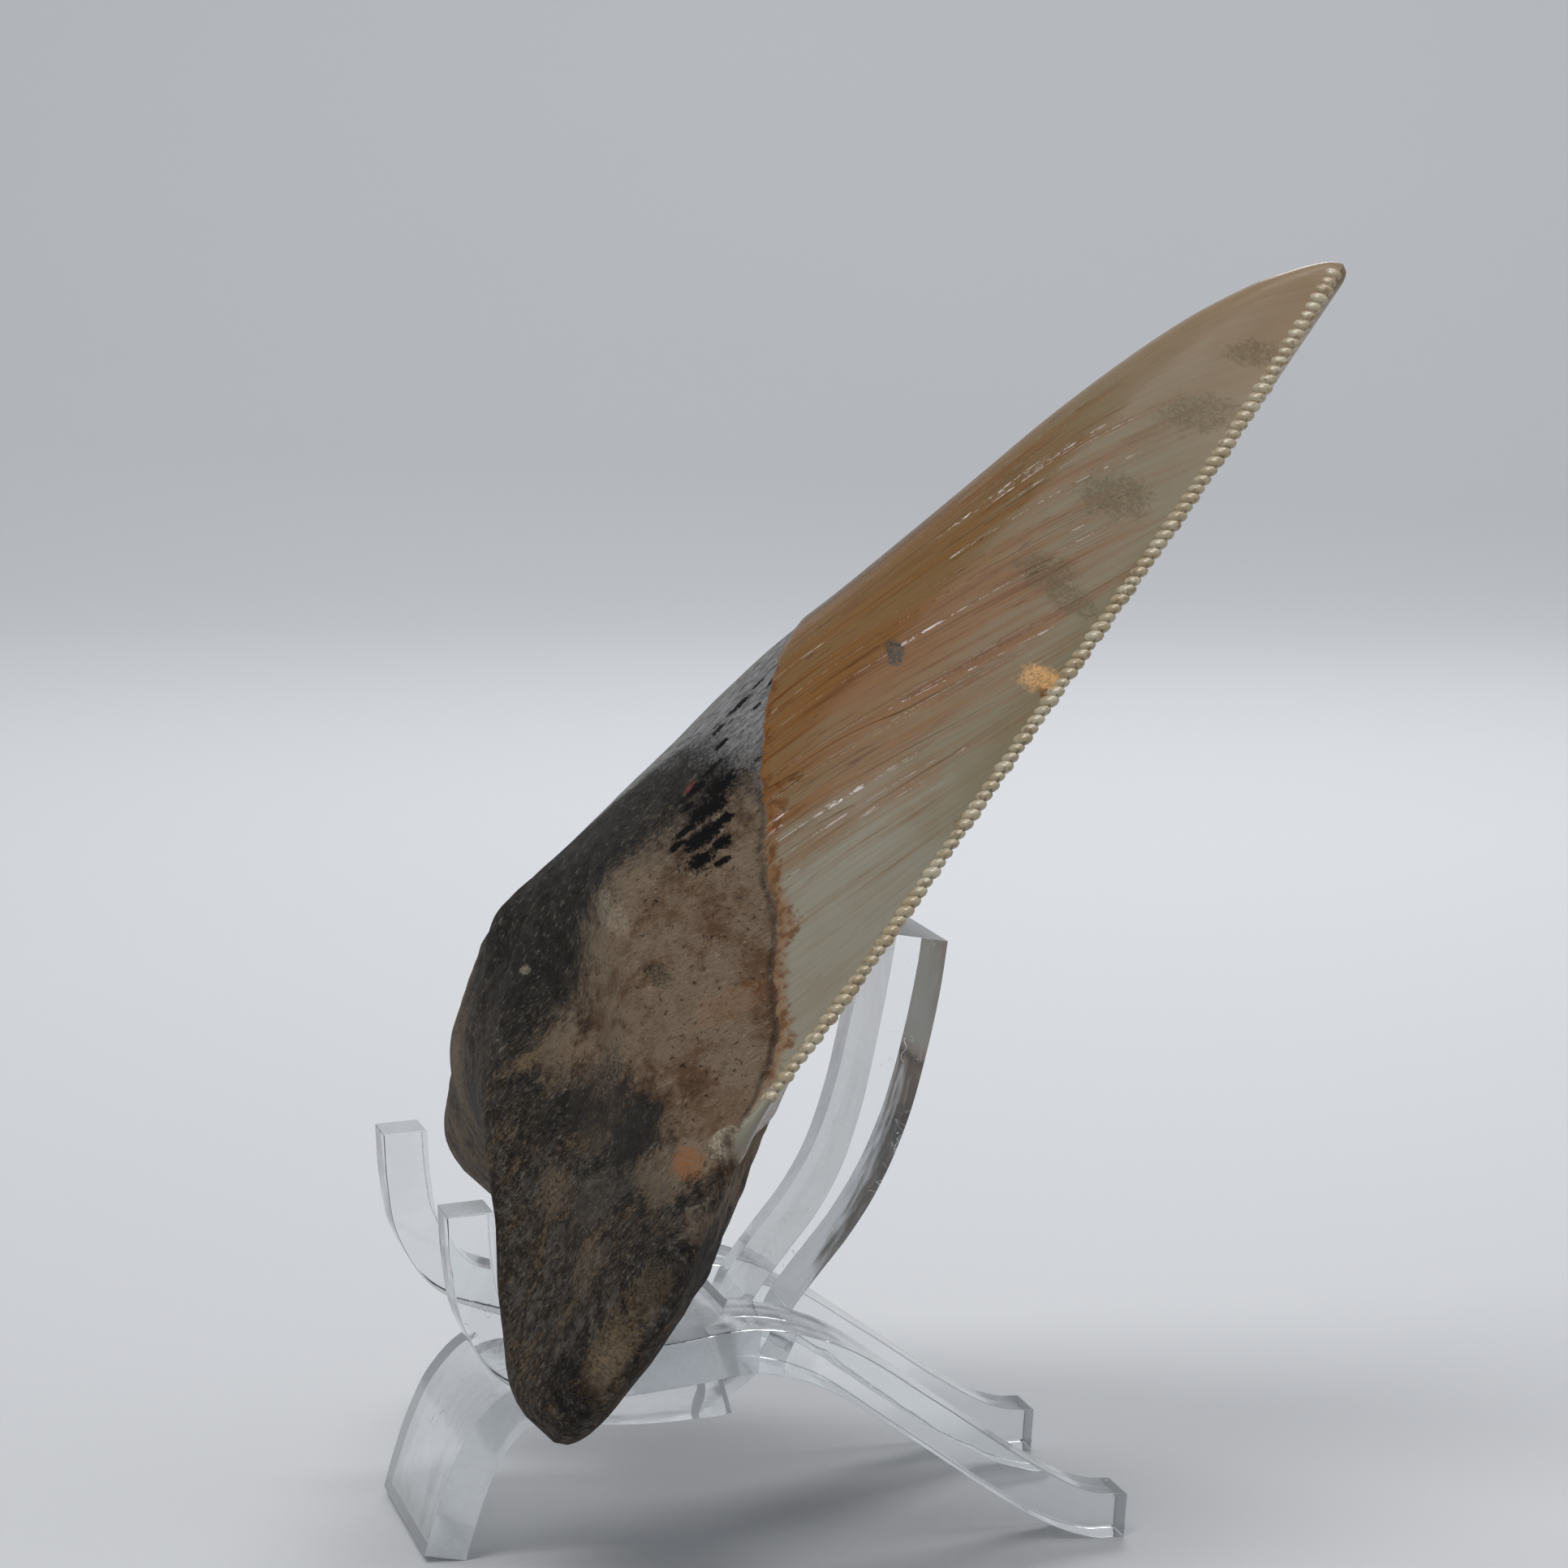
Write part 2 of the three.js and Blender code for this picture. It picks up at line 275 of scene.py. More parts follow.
# The root's lumps and grain: heights and the sizes they repeat at
rootGrain = {
    "broad": 0.5,
    "broadSize": 7.5,
    "middle": 0.22,
    "middleSize": 2.6,
    "along": 0.2,
    "alongWidth": 1.3,
    "alongLength": 7,
    "fine": 0.07,
    "fineSize": 1.1,
    "labialOffset": 40,
    "pitFall": 2.2,
    "edgeFade": 4,
    "rimFade": 6,
    "leastOnBlade": 0.15,
}
# x, depth, radius, depth of each pit in the root; the first is the foramen
rootPits = [(4, 96, 3.2, 1.2), (-13, 92, 3, 0.8), (14, 99, 3.5, 0.9), (-27, 104, 3.6, 0.8),
            (26, 102, 3, 0.7), (-8, 84, 3.4, 0.6), (34, 110, 3.2, 0.7), (-35, 112, 3, 0.7),
            (20, 88, 3.2, 0.6)]
# Lumps and dips where the cutting edge meets the root: x, depth, radius, height
shoulderLumps = [(40.7, 91.9, 1.7, 1.4), (41.2, 88.8, 1.3, -0.7), (39.0, 95.8, 2.4, 0.7),
                 (-41, 91.6, 1.9, 1.1)]


def soft(start, end, value):
    t = np.clip((value - start) / (end - start), 0, 1)
    return t * t * (3 - 2 * t)


def readProfile(points, at):
    # smooth curve through a short list of points
    x = np.array([p[0] for p in points], float)
    y = np.array([p[1] for p in points], float)
    slope = np.empty(len(x))
    slope[1:-1] = (y[2:] - y[:-2]) / (x[2:] - x[:-2])
    slope[0] = (y[1] - y[0]) / (x[1] - x[0])
    slope[-1] = (y[-1] - y[-2]) / (x[-1] - x[-2])
    at = np.minimum(at, x[-1])
    i = np.clip(np.searchsorted(x, at, side="right") - 1, 0, len(x) - 2)
    h = x[i + 1] - x[i]
    t = (at - x[i]) / h
    return ((2 * t**3 - 3 * t**2 + 1) * y[i] + (t**3 - 2 * t**2 + t) * h * slope[i]
            + (3 * t**2 - 2 * t**3) * y[i + 1] + (t**3 - t**2) * h * slope[i + 1])


def halfWidthAt(depth):
    toTip = 1 - np.minimum(depth, tooth["crownSpan"]) / tooth["crownSpan"]
    crown = tooth["halfWidth"] * (1 - toTip ** tooth["crownBend"])
    tipOpen = np.sqrt(np.clip(depth / tooth["tipReach"], 0, 1))
    tipRound = tooth["tipSwell"] * tipOpen * (1 - soft(*tooth["tipSpan"], depth))
    flareStart, flareEnd = tooth["shoulderSpan"]
    flare = tooth["shoulderFlare"] * soft(flareStart, flareEnd, depth)
    return crown + tipRound + flare - tooth["lobeTaper"] * soft(flareEnd, tooth["sideDepth"], depth)


def enamelEndAt(x):
    sideDrop = tooth["enamelSideDrop"] * soft(*tooth["sideDropSpan"], np.abs(x))
    vee = np.hypot(x, tooth["veeRound"]) - tooth["veeRound"]
    return tooth["enamelTop"] + tooth["enamelSlope"] * vee + sideDrop


def toothPoints(across, down, lingual):
    share = np.abs(across)
    fromFarArch = (across + tooth["farArchAt"]) / tooth["farArchWidth"]
    archFill = tooth["farArchFill"] * np.exp(-(fromFarArch**2))
    depth = down * (readProfile(rootOutline, share) + archFill)
    x = across * halfWidthAt(down * tooth["sideDepth"])
    rootness = soft(*tooth["rootSpan"], down)
    lobeThickness = tooth["basalLobe"]
    towardsMiddle = 1 - soft(*tooth["basalSpan"], share)
    basal = lobeThickness + (tooth["basalMiddle"] - lobeThickness) * towardsMiddle
    edge = readProfile(edgeProfile, down * tooth["sideDepth"])
    base = edge + (basal - edge) * soft(tooth["basalStart"], 1, down)
    sideRound = np.sqrt(np.maximum(0, 1 - share**8))
    far = np.maximum(0, -x)
    bend = tooth["farBend"] * far * far / (far + tooth["farBendStart"])
    bend = bend * soft(*tooth["farBendSpan"], down)
    stepBlend = tooth["stepBlend"]
    if lingual:
        farRise = soft(*tooth["farLobeSpan"], share)
        lobeRise = np.where(across < 0, farRise, soft(*tooth["nearLobeSpan"], share))
        crest = tooth["crestShare"] + tooth["crestRise"] * lobeRise + tooth["crestLobe"] * share
        past = np.clip((down - crest) / (1 - crest), 0, 1)
        past = 1.15 * past**2 / (past + 0.15)
        swellAt = np.minimum(down * tooth["archDepth"], tooth["swellDepth"])
        full = readProfile(lingualProfile, swellAt) - edge
        crownHeight = full * (1 - share**2)
        fullness = np.where(across < 0, share ** (1 + tooth["farFullness"]), share)
        narrowing = np.hypot(fullness, tooth["bulgeTop"]) ** tooth["bulgeNarrow"]
        bulge = np.maximum(0, 1 - narrowing) ** tooth["bulgeFall"]
        rootHeight = (full - tooth["rimRound"]) * bulge * tooth["bulge"] + tooth["rimRound"] * sideRound
        top = edge + crownHeight + (rootHeight - crownHeight) * rootness
        fall = past ** (tooth["basalFall"] + tooth["lobeFall"] * lobeRise)
        height = base + (top - edge) * np.sqrt(np.maximum(0, 1 - fall))
        bare = soft(-stepBlend, stepBlend, depth - enamelEndAt(x))
    else:
        rim = np.clip((down - (1 - tooth["labialRim"])) / tooth["labialRim"], 0, 1)
        basalRound = np.sqrt(np.maximum(0, 1 - rim**6))
        rounding = (1 - share**2) * (1 - rootness) + sideRound * rootness * basalRound
        height = base + (readProfile(labialProfile, depth) - base) * rounding
        enamelEnd = tooth["labialEnamelDepth"] + tooth["labialEnamelBow"] * share
        bare = soft(-stepBlend, stepBlend, depth - enamelEnd)
    return np.stack([x, depth, height + bend], -1), rootness, bare


def rootRelief(points, lingual):
    # lumps, grain and pits, in millimetres, for each point
    side = 0 if lingual else rootGrain["labialOffset"]
    lift = np.empty(len(points))
    for i, (x, depth, height) in enumerate(points):
        spot = Vector((x, depth, height + side))
        broad = noise.noise(spot / rootGrain["broadSize"])
        middle = noise.noise(spot / rootGrain["middleSize"] + Vector((9, 3, 1)))
        along = noise.noise(Vector((x / rootGrain["alongWidth"], depth / rootGrain["alongLength"], side)))
        fine = noise.noise(spot / rootGrain["fineSize"])
        lift[i] = (rootGrain["broad"] * broad + rootGrain["middle"] * middle + rootGrain["along"] * along
                   + rootGrain["fine"] * fine)
    if lingual:
        for pitX, pitDepth, radius, deep in rootPits:
            r = np.hypot(points[:, 0] - pitX, points[:, 1] - pitDepth) / radius
            lift -= deep * np.exp(-rootGrain["pitFall"] * r * r)
    return lift


def placeTooth(points):
    # the tooth's own x, depth and height, turned and leaned back onto the stand, in metres
    level = np.array([math.cos(toothYaw), -math.sin(toothYaw), 0])
    upward = np.array([0, 0, 1.0])
    acrossAxis = np.array([-math.sin(toothYaw), -math.cos(toothYaw), 0])
    tipAxis = level * math.cos(toothLean) + upward * math.sin(toothLean)
    lingualAxis = np.cross(acrossAxis, tipAxis)
    local = points[..., :1] * acrossAxis - points[..., 1:2] * tipAxis + points[..., 2:] * lingualAxis
    return (local + np.array(tipPlace)) * mm


def makeToothMesh():
    columns, rows = tooth["columns"], tooth["rows"]
    t = np.linspace(-1, 1, columns + 1)
    crowding = tooth["edgeCrowding"]
    across = (1 - crowding) * t + crowding * np.sin(np.pi / 2 * t)
    across[0], across[-1] = -1, 1
    down = np.linspace(0, 1, rows + 1)[1:]
    acrossGrid, downGrid = np.meshgrid(across, down, indexing="ij")
    sheets = []
    for lingual in (True, False):
        points, rootness, bare = toothPoints(acrossGrid, downGrid, lingual)
        flat = points.reshape(-1, 3)
        lift = rootRelief(flat, lingual).reshape(bare.shape)
        toEdge = rootGrain["edgeFade"] * (1 - np.abs(acrossGrid))
        fade = np.clip(np.minimum(toEdge, rootGrain["rimFade"] * (1 - downGrid)), 0, 1)
        sign = 1 if lingual else -1
        rough = lift * np.maximum(rootness, rootGrain["leastOnBlade"])
        points[..., 2] += sign * fade * bare * (rough - tooth["enamelStep"])
        for lumpX, lumpDepth, radius, high in shoulderLumps if lingual else []:
            spread = ((points[..., 0] - lumpX) ** 2 + (points[..., 1] - lumpDepth) ** 2) / radius**2
            points[..., 2] += high * np.exp(-spread)
        sheets.append(points)
    vertices = [np.array([[0.0, 0.0, 0.0]])]
    index = np.zeros((2, columns + 1, rows), int)
    count = 1
    side = [np.array([1.0])]
    for k, points in enumerate(sheets):
        for i in range(columns + 1):
            for j in range(rows):
                if k == 1 and (i in (0, columns) or j == rows - 1):
                    index[k, i, j] = index[0, i, j]
                else:
                    index[k, i, j] = count
                    count += 1
        own = np.ones((columns + 1, rows), bool)
        if k == 1:
            own[0, :] = own[-1, :] = False
            own[:, -1] = False
        vertices.append(points[own])
        side.append(np.full(int(own.sum()), 1.0 - k))
    vertices = np.concatenate(vertices)
    side = np.concatenate(side)
    faces = []
    for k in range(2):
        for i in range(columns):
            left, right = index[k, i], index[k, i + 1]
            tip = [0, left[0], right[0]]
            faces.append(tip if k == 0 else tip[::-1])
            for j in range(rows - 1):
                quad = [left[j], left[j + 1], right[j + 1], right[j]]
                faces.append(quad if k == 0 else quad[::-1])
    return vertices, faces, side


def meshObject(name, vertices, faces, material, smooth=True):
    mesh = bpy.data.meshes.new(name)
    mesh.from_pydata([tuple(v) for v in vertices], [], [tuple(int(i) for i in f) for f in faces])
    mesh.validate()
    mesh.materials.append(material)
    if smooth:
        mesh.shade_smooth()
    piece = bpy.data.objects.new(name, mesh)
    bpy.context.scene.collection.objects.link(piece)
    return piece


fossil = {
    "enamelPale": paint(124, 115, 93),
    "enamelWarm": paint(140, 120, 96),
    "enamelCool": paint(142, 139, 126),
    "enamelOlive": paint(86, 70, 38),
    "enamelOrange": paint(128, 83, 40),
    "enamelHoney": paint(122, 91, 54),
    "enamelRust": paint(86, 48, 20),
    "crackDark": paint(78, 50, 28),
    # white of the glints along the enamel's cracks: a painted highlight
    "paintedCrackGlint": paint(226, 216, 214),
    "ridgeDark": paint(72, 62, 40),
    "dropGrey": paint(58, 55, 50),
    "patchOrange": paint(204, 156, 100),
    "bandGrey": paint(172, 171, 172),
    "bandDark": paint(116, 114, 114),
    "fleckBlack": paint(16, 16, 18),
    "rootCharcoal": paint(62, 59, 55),
    "rootBlack": paint(36, 34, 32),
    "rootStroke": paint(136, 128, 114),
    "rootGrey": paint(104, 98, 91),
    "rootTan": paint(146, 127, 106),
    "rootPink": paint(112, 85, 64),
    "rootBrown": paint(58, 46, 36),
    "rootStreak": paint(134, 114, 88),
    "shoulderOrange": paint(176, 112, 60),
    "boneWhite": paint(196, 182, 160),
    "redMark": paint(150, 62, 54),
}
# Where the finishes change, millimetres of depth or of distance from the middle; a pair is start and end
fossilLayout = {
    "fanSource": 350.0,          # the enamel's streaks would meet this far past the tip
    "fanEven": 50.0,
    "paleDepth": (8.0, 30.0),
    "coolDepth": (66.0, 84.0),
    "orangeDepth": (12.0, 42.0),
    "orangeSpread": 0.35,        # half width of the golden zone for each millimetre of depth
    "orangeInset": 0.5,
    "orangeLimit": 21.0,
    "threadDepth": (12.0, 30.0),
    "lineDepth": (20.0, 34.0),
    "ridgeHalf": 2.6,
    "ridgeDepth": (34.0, 46.0),
    "rimWidth": 0.8,
    "rimSideExtra": 0.4,
    "bandWidth": 17.0,
    "bandMiddleExtra": 13.0,
    "bandInset": 2.8,
    "bandHalf": 20.0,
    "tanEnd": 97.5,
    "tanAway": (12.5, 20.0),
    "lobeDepth": (97.0, 107.0),
    "farTanDepth": (96.0, 103.0),
    "seamWidth": 0.9,
    "bumpHeight": 0.4,
    "bumpStrength": 0.75,
    "enamelRoughness": 0.25,
    "rootRoughness": 0.62,
    "mirror": 0.1,
    "coat": 0.02,
    "coatRoughness": 0.1,
}
# Marks on the tongue face: colour, x, depth, half length across, half length down, strength
enamelMarks = [
    ("enamelOlive", 10.7, 28.9, 1.8, 2.3, 0.75), ("enamelOlive", 13.3, 37.8, 1.6, 1.9, 0.75),
    ("enamelOlive", 15.6, 38.6, 1.8, 1.4, 0.7), ("enamelOlive", 8.0, 18.6, 1.3, 2.6, 0.6),
    ("enamelOlive", 5.6, 11.2, 0.9, 1.7, 0.6), ("patchOrange", 20.1, 45.6, 1.5, 1.3, 1.0),
    ("enamelRust", 21.6, 46.4, 1.2, 0.5, 0.8), ("dropGrey", 13.1, 51.2, 0.6, 0.6, 1.0),
    ("dropGrey", 13.6, 51.7, 0.6, 0.6, 1.0), ("dropGrey", 14.1, 52.1, 0.45, 0.5, 1.0),
    ("redMark", 29.6, 60.0, 0.5, 0.4, 0.8), ("enamelRust", 27.3, 59.6, 0.5, 0.4, 0.5),
]
rootMarks = [
    ("redMark", 12.4, 72.3, 0.8, 0.8, 0.7), ("shoulderOrange", 39.5, 95.6, 2.2, 1.4, 0.7),
    ("boneWhite", 40.8, 91.8, 1.6, 1.5, 1.0), ("rootStreak", 16.8, 100.2, 0.8, 1.9, 0.85),
    ("boneWhite", 9.5, 95.0, 0.6, 0.5, 0.5), ("fleckBlack", 24.6, 86.0, 1.3, 0.9, 0.6),
    ("shoulderOrange", 29.5, 83.5, 1.4, 3.6, 0.22), ("boneWhite", 17.6, 85.0, 3.2, 1.2, 0.4),
    ("rootCharcoal", 26.4, 97.8, 4.0, 4.2, 0.9), ("rootCharcoal", 31.6, 97.4, 2.6, 3.0, 0.7),
    ("rootTan", 27.7, 106.6, 2.6, 2.2, 0.5), ("rootStreak", 44.6, 112.6, 1.6, 4.4, 0.7),
    ("rootTan", 44.9, 113.4, 1.0, 2.6, 0.7), ("rootStreak", 45.4, 106.0, 1.4, 3.2, 0.4),
    ("rootTan", 37.4, 108.5, 2.4, 2.6, 0.35), ("fleckBlack", 42.5, 116.8, 3.2, 2.6, 0.75),
    ("rootTan", -4.2, 109.5, 2.6, 4.6, 0.8), ("rootStreak", -1.0, 105.5, 2.2, 4.0, 0.6),
    ("rootGrey", 33.0, 104.0, 3.0, 3.0, 0.5), ("rootPink", 37.0, 90.5, 2.2, 2.6, 0.6),
]
# Black flakes next to the gum-line band: x, depth, half length across, half length down
blackFlakes = [
    (12.1, 69.8, 0.35, 1.2), (12.7, 72.0, 0.5, 1.6), (14.4, 70.4, 0.8, 2.2), (13.8, 73.6, 0.3, 1.0),
    (15.5, 72.4, 1.0, 2.3), (15.9, 75.3, 0.4, 1.2), (17.3, 72.3, 0.5, 1.2), (17.4, 74.7, 0.85, 2.1),
    (16.6, 76.8, 0.35, 1.0), (18.7, 73.9, 0.45, 1.1), (18.9, 76.2, 0.7, 1.7), (20.0, 75.2, 0.3, 0.9),
    (7.4, 64.0, 0.45, 1.5), (6.8, 61.6, 0.25, 0.8), (8.1, 66.9, 0.4, 1.0), (8.5, 60.4, 0.5, 0.7),
    (10.4, 67.6, 0.3, 0.9), (9.6, 63.0, 0.25, 0.7),
]
# How ragged the edges of each kind of mark are
ruffles = {"enamel": 0.55, "root": 0.6, "flake": 0.75}


class FossilSurface(Shader):
    def __init__(self):
        super().__init__("fossil_surface")
        self.place = self.attribute("toothPlace", "Vector")
        self.x, self.depth, self.height = self.parts(self.place)
        self.away = abs(self.x)
        self.share = self.attribute("share")
        self.lingual = self.attribute("lingualSide")
        # unevenness around zero, from broad to fine
        self.wander = self.grain(self.place, 0.16, 3.0) - 0.5
        self.mottle = self.grain(self.place, 0.6, 8.0, 0.78) - 0.5
        self.ragged = self.grain(self.place, 0.9, 4.0, 0.6) - 0.5
        self.fine = self.grain(self.place, 2.6, 4.0, 0.65) - 0.5
        self.grit = self.brush(self.x * 1.5, self.depth * 0.75, self.height, 2.2, 6.0, 0.75)
        self.stroke = self.brush(self.x * 3.4, self.depth * 1.1, self.height * 1.6, 1.1, 5.0, 0.7)
        self.spotGrain = self.grain(self.place, 3.0, 6.0, 0.75).ramp(0.42, 0.54, 0.25, 1.0)
        self.below = self.pastEnamel()
        self.bare = self.below.ramp(-0.2, 0.2)

    def brush(self, x, depth, height, scale, detail, rough):
        # grain on a stretched place, around zero
        return self.grain(self.join(x, depth, height), scale, detail, rough) - 0.5

    def crossing(self, field, width):
        # thin lines where a field passes zero
        return abs(field).ramp(0.0, width, 1.0, 0.0)

    def layered(self, colour, layers):
        for amount, over in layers:
            colour = self.blend(amount, colour, over if isinstance(over, Wire) else fossil[over])
        return colour

    def spot(self, markX, markDepth, halfX, halfDepth, ruffle):
        reach = (((self.x - markX) / halfX) ** 2.0 + ((self.depth - markDepth) / halfDepth) ** 2.0) ** 0.5
        ruffled = reach + self.ragged * ruffle * 2.0 + self.fine * ruffle * 3.0
        return ruffled.ramp(0.6, 1.25, 1.0, 0.0) * self.lingual

    def marked(self, colour, marks, ruffle):
        return self.layered(colour, [(self.spot(*box, ruffle) * strength * self.spotGrain, name)
                                     for name, *box, strength in marks])

    def pastEnamel(self):
        # distance below the enamel's end, on either side
        vee = (self.x * self.x + tooth["veeRound"] ** 2) ** 0.5 - tooth["veeRound"]
        sideDrop = self.away.ramp(*tooth["sideDropSpan"], 0.0, tooth["enamelSideDrop"])
        lingualEnd = vee * tooth["enamelSlope"] + sideDrop + tooth["enamelTop"]
        labialEnd = self.share * tooth["labialEnamelBow"] + tooth["labialEnamelDepth"]
        end = lingualEnd * self.lingual + labialEnd * (1 - self.lingual)
        return self.depth - end + self.wander * 2.4 + self.ragged * 1.6

    def enamelColour(self):
        # pale at the edges, honey and orange along the middle, in streaks that run lengthwise
        layout, depth, away = fossilLayout, self.depth, self.away
        fanX = self.x * (layout["fanSource"] + layout["fanEven"]) / (depth + layout["fanSource"])
        streak = self.brush(fanX, depth * 0.04, self.height * 0.02, 0.75, 5.0, 0.65)
        fineStreak = self.brush(fanX * 5.0, depth * 0.08, 3.0, 0.8, 5.0, 0.65)
        cloud = self.grain(self.place, 0.1, 3.0) - 0.5
        goldHalf = (depth * layout["orangeSpread"] - layout["orangeInset"]).smallest(layout["orangeLimit"])
        inside = goldHalf - away + streak * 16.0
        orange = (inside + fineStreak * 9.0 + self.wander * 6.0).ramp(-6.0, 4.0)
        orange = orange * (depth + streak * 14.0).ramp(*layout["orangeDepth"])
        orange = orange * (0.62 + 0.38 * self.lingual)

        threadField = self.brush(fanX * 1.7, depth * 0.03, 11.0, 1.0, 3.0, 0.6)
        threadBreak = self.brush(fanX * 1.5, depth * 0.12, 23.0, 1.0, 4.0, 0.7)
        thread = self.crossing(threadField, 0.02) * threadBreak.ramp(-0.06, 0.04)
        thread = thread * (inside + 1.5).ramp(-3.0, 3.0) * depth.ramp(*layout["threadDepth"])
        lineField = self.brush(fanX * 0.55, depth * 0.014, 7.0, 1.0, 2.0, 0.5)
        lineBreak = self.brush(fanX * 0.9, depth * 0.07, 1.0, 1.0, 4.0, 0.7)
        line = self.crossing(lineField, 0.0045) * lineBreak.ramp(-0.08, 0.04)
        line = line * depth.ramp(*layout["lineDepth"]) * orange.ramp(0.0, 0.6, 0.25, 1.0)
        # white glints on the enamel's cracks: painted highlights, pale broken lines in the golden zone; the
        # relief sinks them a little and the roughness rises there
        glintField = self.brush(fanX * 0.9, depth * 0.01, 19.0, 1.0, 2.0, 0.5)
        glintBreak = self.brush(fanX * 1.8, depth * 0.7, 5.0, 1.0, 5.0, 0.75)
        glint = self.crossing(glintField, 0.009) * glintBreak.ramp(-0.01, 0.02) * orange.ramp(0.2, 0.7)

        ridge = (layout["ridgeHalf"] - away + streak * 6.0).ramp(-0.8, 0.8)
        ridge = ridge * depth.ramp(*layout["ridgeDepth"])
        rimWidth = layout["rimWidth"] + away.ramp(14.0, 26.0) * layout["rimSideExtra"]
        rimWidth = rimWidth + (self.ragged + self.wander).largest(0.0) * 4.0
        rim = (self.below + rimWidth).ramp(-0.6, 0.9) * self.share.ramp(1.0, 0.95)
        colour = self.layered(fossil["enamelWarm"], [
            ((depth + cloud * 20.0).ramp(*layout["paleDepth"]), "enamelPale"),
            ((depth + cloud * 50.0 + away * 0.5).ramp(*layout["coolDepth"]) * 0.8, "enamelCool"),
            ((fineStreak + cloud).ramp(-0.05, 0.25) * 0.22, "enamelHoney"),
            (orange * 0.85, "enamelHoney"),
            (orange * (streak + 0.04).ramp(-0.06, 0.2) * 0.7, "enamelOrange"),
            (orange * (fineStreak + streak * 0.5).ramp(0.02, 0.24) * 0.6, "enamelRust"),
            (thread * 0.75, "enamelRust"),
            (ridge * 0.6, "ridgeDark"),
            (rim * 0.6, "enamelOrange"),
            (rim * self.ragged.ramp(-0.05, 0.1) * 0.6, "enamelRust"),
            (line * 0.55, "crackDark"),
            # painted highlight: the white glints along the cracks
            (glint * 0.9, "paintedCrackGlint"),
        ])
        relief = fineStreak * 0.05 + streak * 0.1 - line * 0.25 - glint * 0.1
        return self.marked(colour, enamelMarks, ruffles["enamel"]), relief, glint

    def band(self):
        # gum-line band under the enamel: light grey, brushed, with black flecks
        layout, away = fossilLayout, self.away
        width = layout["bandWidth"] * away.ramp(1.0, layout["bandHalf"], 1.0, 0.0) - layout["bandInset"]
        width = width + layout["bandMiddleExtra"] * away.ramp(0.0, 6.0, 1.0, 0.0)
        edge = (self.wander * 9.0 + self.ragged * 3.0 + self.fine * 2.0) * away.ramp(14.0, 22.0, 1.0, 0.05)
        amount = (width - self.below + edge + self.fine * 6.0).ramp(-3.5, 3.0)
        brushed = self.brush(self.x * 2.2, self.depth * 0.5, self.height, 1.4, 5.0, 0.7)
        fleck = self.brush(self.x * 1.7, self.depth * 0.5, 2.0, 0.8, 5.0, 0.7).ramp(0.1, 0.14)
        colour = self.layered(fossil["bandDark"], [
            (brushed.ramp(-0.16, 0.14), "bandGrey"),
            (fleck * 0.85, "fleckBlack"),
        ])
        return amount * 0.92, colour

    def rootColour(self):
        # charcoal over the bulge, tan beside the crown, brown and black on the lobes
        layout, depth, away = fossilLayout, self.depth, self.away
        mottle, grit, stroke = self.mottle, self.grit, self.stroke
        blotch = self.grain(self.place, 0.11, 4.0, 0.6) - 0.5
        lobeGrain = self.brush(self.x * 0.8, depth * 0.3, self.height * 0.5, 0.6, 6.0, 0.74)
        dust = mottle * 10.0 + grit * 12.0
        tanEnd = layout["tanEnd"] - (away - 30.0) * 0.12 + blotch * 34.0 + self.ragged * 5.0 + dust
        tanAway = away + blotch * 14.0 + self.ragged * 4.0 + dust * 0.6
        tan = (tanEnd - depth).ramp(-4.0, 4.0) * tanAway.ramp(*layout["tanAway"])
        tanColour = self.layered(fossil["rootPink"], [
            ((mottle + blotch * 1.6).ramp(-0.2, 0.16), "rootTan"),
            ((grit * 1.2 + stroke).ramp(0.1, 0.34) * 0.5, "boneWhite"),
            ((0.0 - stroke - grit * 0.5).ramp(0.06, 0.22) * 0.65, "rootBrown"),
        ])
        lobe = (depth + blotch * 24.0 + dust * 0.6).ramp(*layout["lobeDepth"])
        farTan = (0.0 - self.x + blotch * 16.0).ramp(2.0, 8.0) * depth.ramp(*layout["farTanDepth"])
        pore = (self.grain(self.place, 1.7, 4.0, 0.7) - 0.5).ramp(0.11, 0.16)
        colour = self.layered(fossil["rootBlack"], [
            ((mottle + grit * 0.7).ramp(-0.16, 0.16), "rootCharcoal"),
            ((stroke + mottle * 0.4).ramp(0.05, 0.2) * 0.75, "rootStroke"),
            (tan * 0.92, tanColour),
            (lobe * (lobeGrain + grit * 0.6).ramp(-0.12, 0.06) * 0.7, "rootBrown"),
            (lobe * (lobeGrain + grit * 0.8).ramp(0.0, 0.22) * 0.7, "rootStreak"),
            (lobe * (mottle - lobeGrain * 0.6).ramp(-0.02, 0.14) * 0.6, "rootGrey"),
            (lobe * (stroke + grit * 0.3).ramp(0.03, 0.16) * 0.5, "rootStroke"),
            (farTan * (lobeGrain + grit * 0.5).ramp(-0.22, 0.2) * 0.75, "rootTan"),
            (pore * 0.7, "fleckBlack"),
        ])
        colour = self.marked(colour, rootMarks, ruffles["root"])
        seamEnd = layout["seamWidth"] + self.ragged * 3.0 - self.below
        seam = (self.below - 0.5).ramp(-0.7, 0.3) * seamEnd.ramp(-0.3, 0.5)
        lump = self.grain(self.place, 0.9, 3.0, 0.6) - 0.5
        relief = lump * 2.4 + grit * 2.2 + stroke * 1.1 + mottle * 1.4 - pore * 0.9
        return self.layered(colour, [(seam * 0.7, "rootBrown")]), relief


